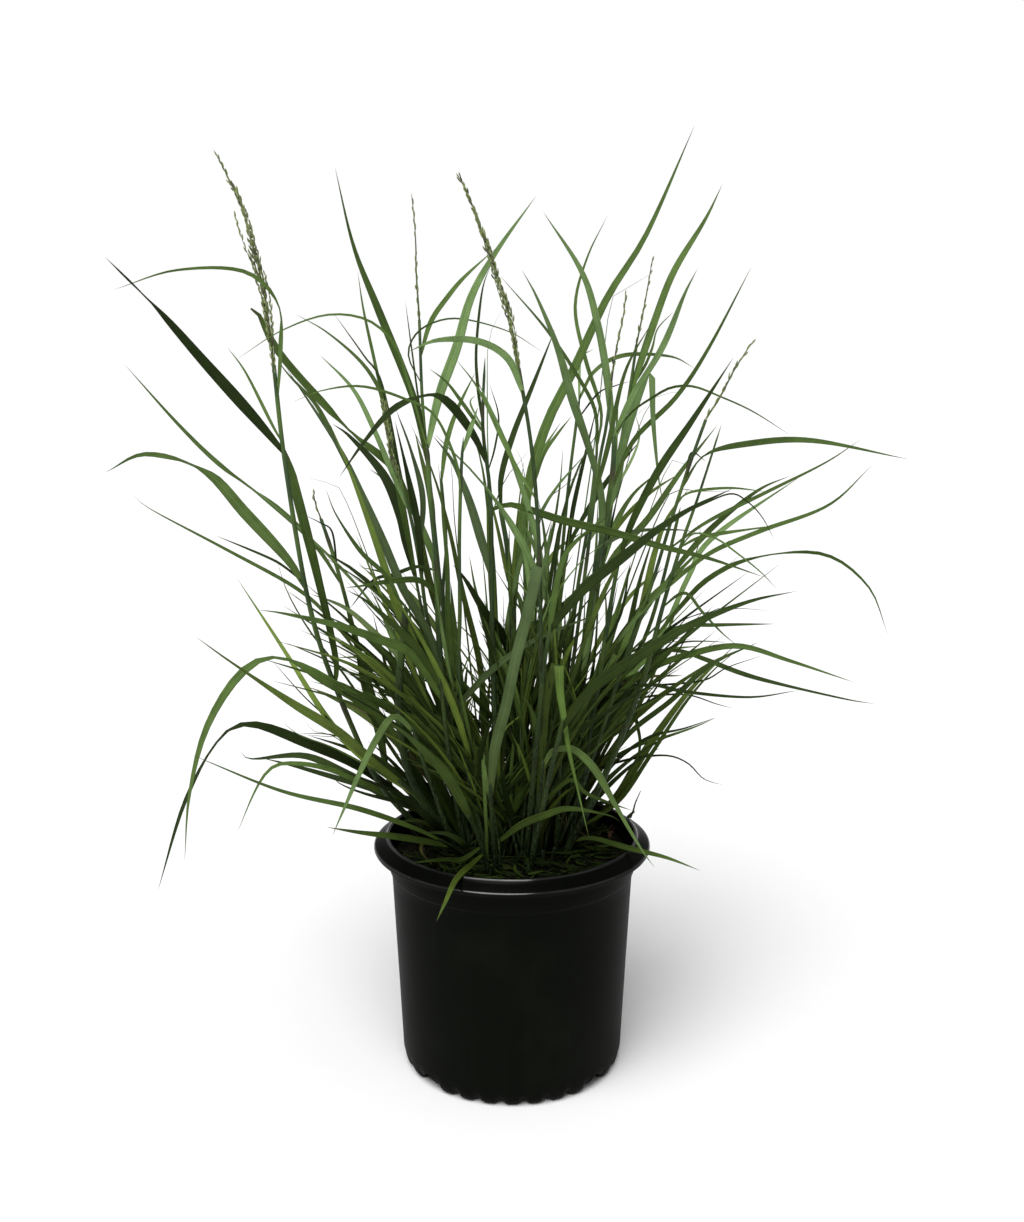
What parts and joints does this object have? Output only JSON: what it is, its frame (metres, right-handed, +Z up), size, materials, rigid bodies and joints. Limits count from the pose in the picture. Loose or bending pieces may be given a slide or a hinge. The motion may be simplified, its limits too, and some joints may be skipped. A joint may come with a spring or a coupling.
{
  "type": "potted switchgrass",
  "caption": "Clump of switchgrass with upright stems, arching blades and slender seed heads, growing in soil in a round black nursery pot.",
  "frame": {"origin": "centre of the pot's foot, on the surface that it stands on", "axes": "+Z up along the pot's axis, -Y towards the viewer of the picture, +X to that viewer's right"},
  "size_m": [0.7292, 0.5015, 0.8119],
  "materials": {
    "nursery_pot": "moulded black polypropylene with a satin sheen, brighter along the lip",
    "potting_soil": "dark moist bark and peat potting mix with crumbs and dry leaf bits",
    "grass_leaf": "green grass blade, finely veined along its length, paler and greyer on its upper side",
    "seed_head": "pale green stalks with small purple-brown spikelets"
  },
  "bodies": {
    "root": {"nursery_pot": "nursery_pot", "potting_soil": "potting_soil", "seed_head_centre": "seed_head", "seed_head_dark": "seed_head", "seed_head_far_right": "seed_head", "seed_head_left": "seed_head", "seed_head_right": "seed_head", "seed_head_slender": "seed_head", "seed_head_tall": "seed_head", "seed_head_thin": "seed_head", "shoot_arched": "grass_leaf", "shoot_back_centre": "grass_leaf", "shoot_back_left": "grass_leaf", "shoot_back_low_left": "grass_leaf", "shoot_back_low_right": "grass_leaf", "shoot_back_right": "grass_leaf", "shoot_centre": "grass_leaf", "shoot_centre_back": "grass_leaf", "shoot_centre_head": "grass_leaf", "shoot_cut_leaf": "grass_leaf", "shoot_dark_cross": "grass_leaf", "shoot_dark_head": "grass_leaf", "shoot_far_right_head": "grass_leaf", "shoot_folded_leaf": "grass_leaf", "shoot_front_arch": "grass_leaf", "shoot_front_left": "grass_leaf", "shoot_front_low": "grass_leaf", "shoot_left_bright": "grass_leaf", "shoot_left_dark": "grass_leaf", "shoot_left_grey": "grass_leaf", "shoot_left_head": "grass_leaf", "shoot_left_short": "grass_leaf", "shoot_left_tall_stalk": "grass_leaf", "shoot_left_thick": "grass_leaf", "shoot_low_bent": "grass_leaf", "shoot_low_bright": "grass_leaf", "shoot_low_droop": "grass_leaf", "shoot_low_flat": "grass_leaf", "shoot_low_olive": "grass_leaf", "shoot_mid_left": "grass_leaf", "shoot_right_bold": "grass_leaf", "shoot_right_folded": "grass_leaf", "shoot_right_inner": "grass_leaf", "shoot_right_leaning": "grass_leaf", "shoot_right_low": "grass_leaf", "shoot_right_rising": "grass_leaf", "shoot_right_slender": "grass_leaf", "shoot_right_stalk": "grass_leaf", "shoot_right_thick": "grass_leaf", "shoot_right_wide": "grass_leaf", "shoot_right_yellow": "grass_leaf", "shoot_tallest": "grass_leaf", "shoot_thin_head": "grass_leaf"}
  },
  "joints": []
}
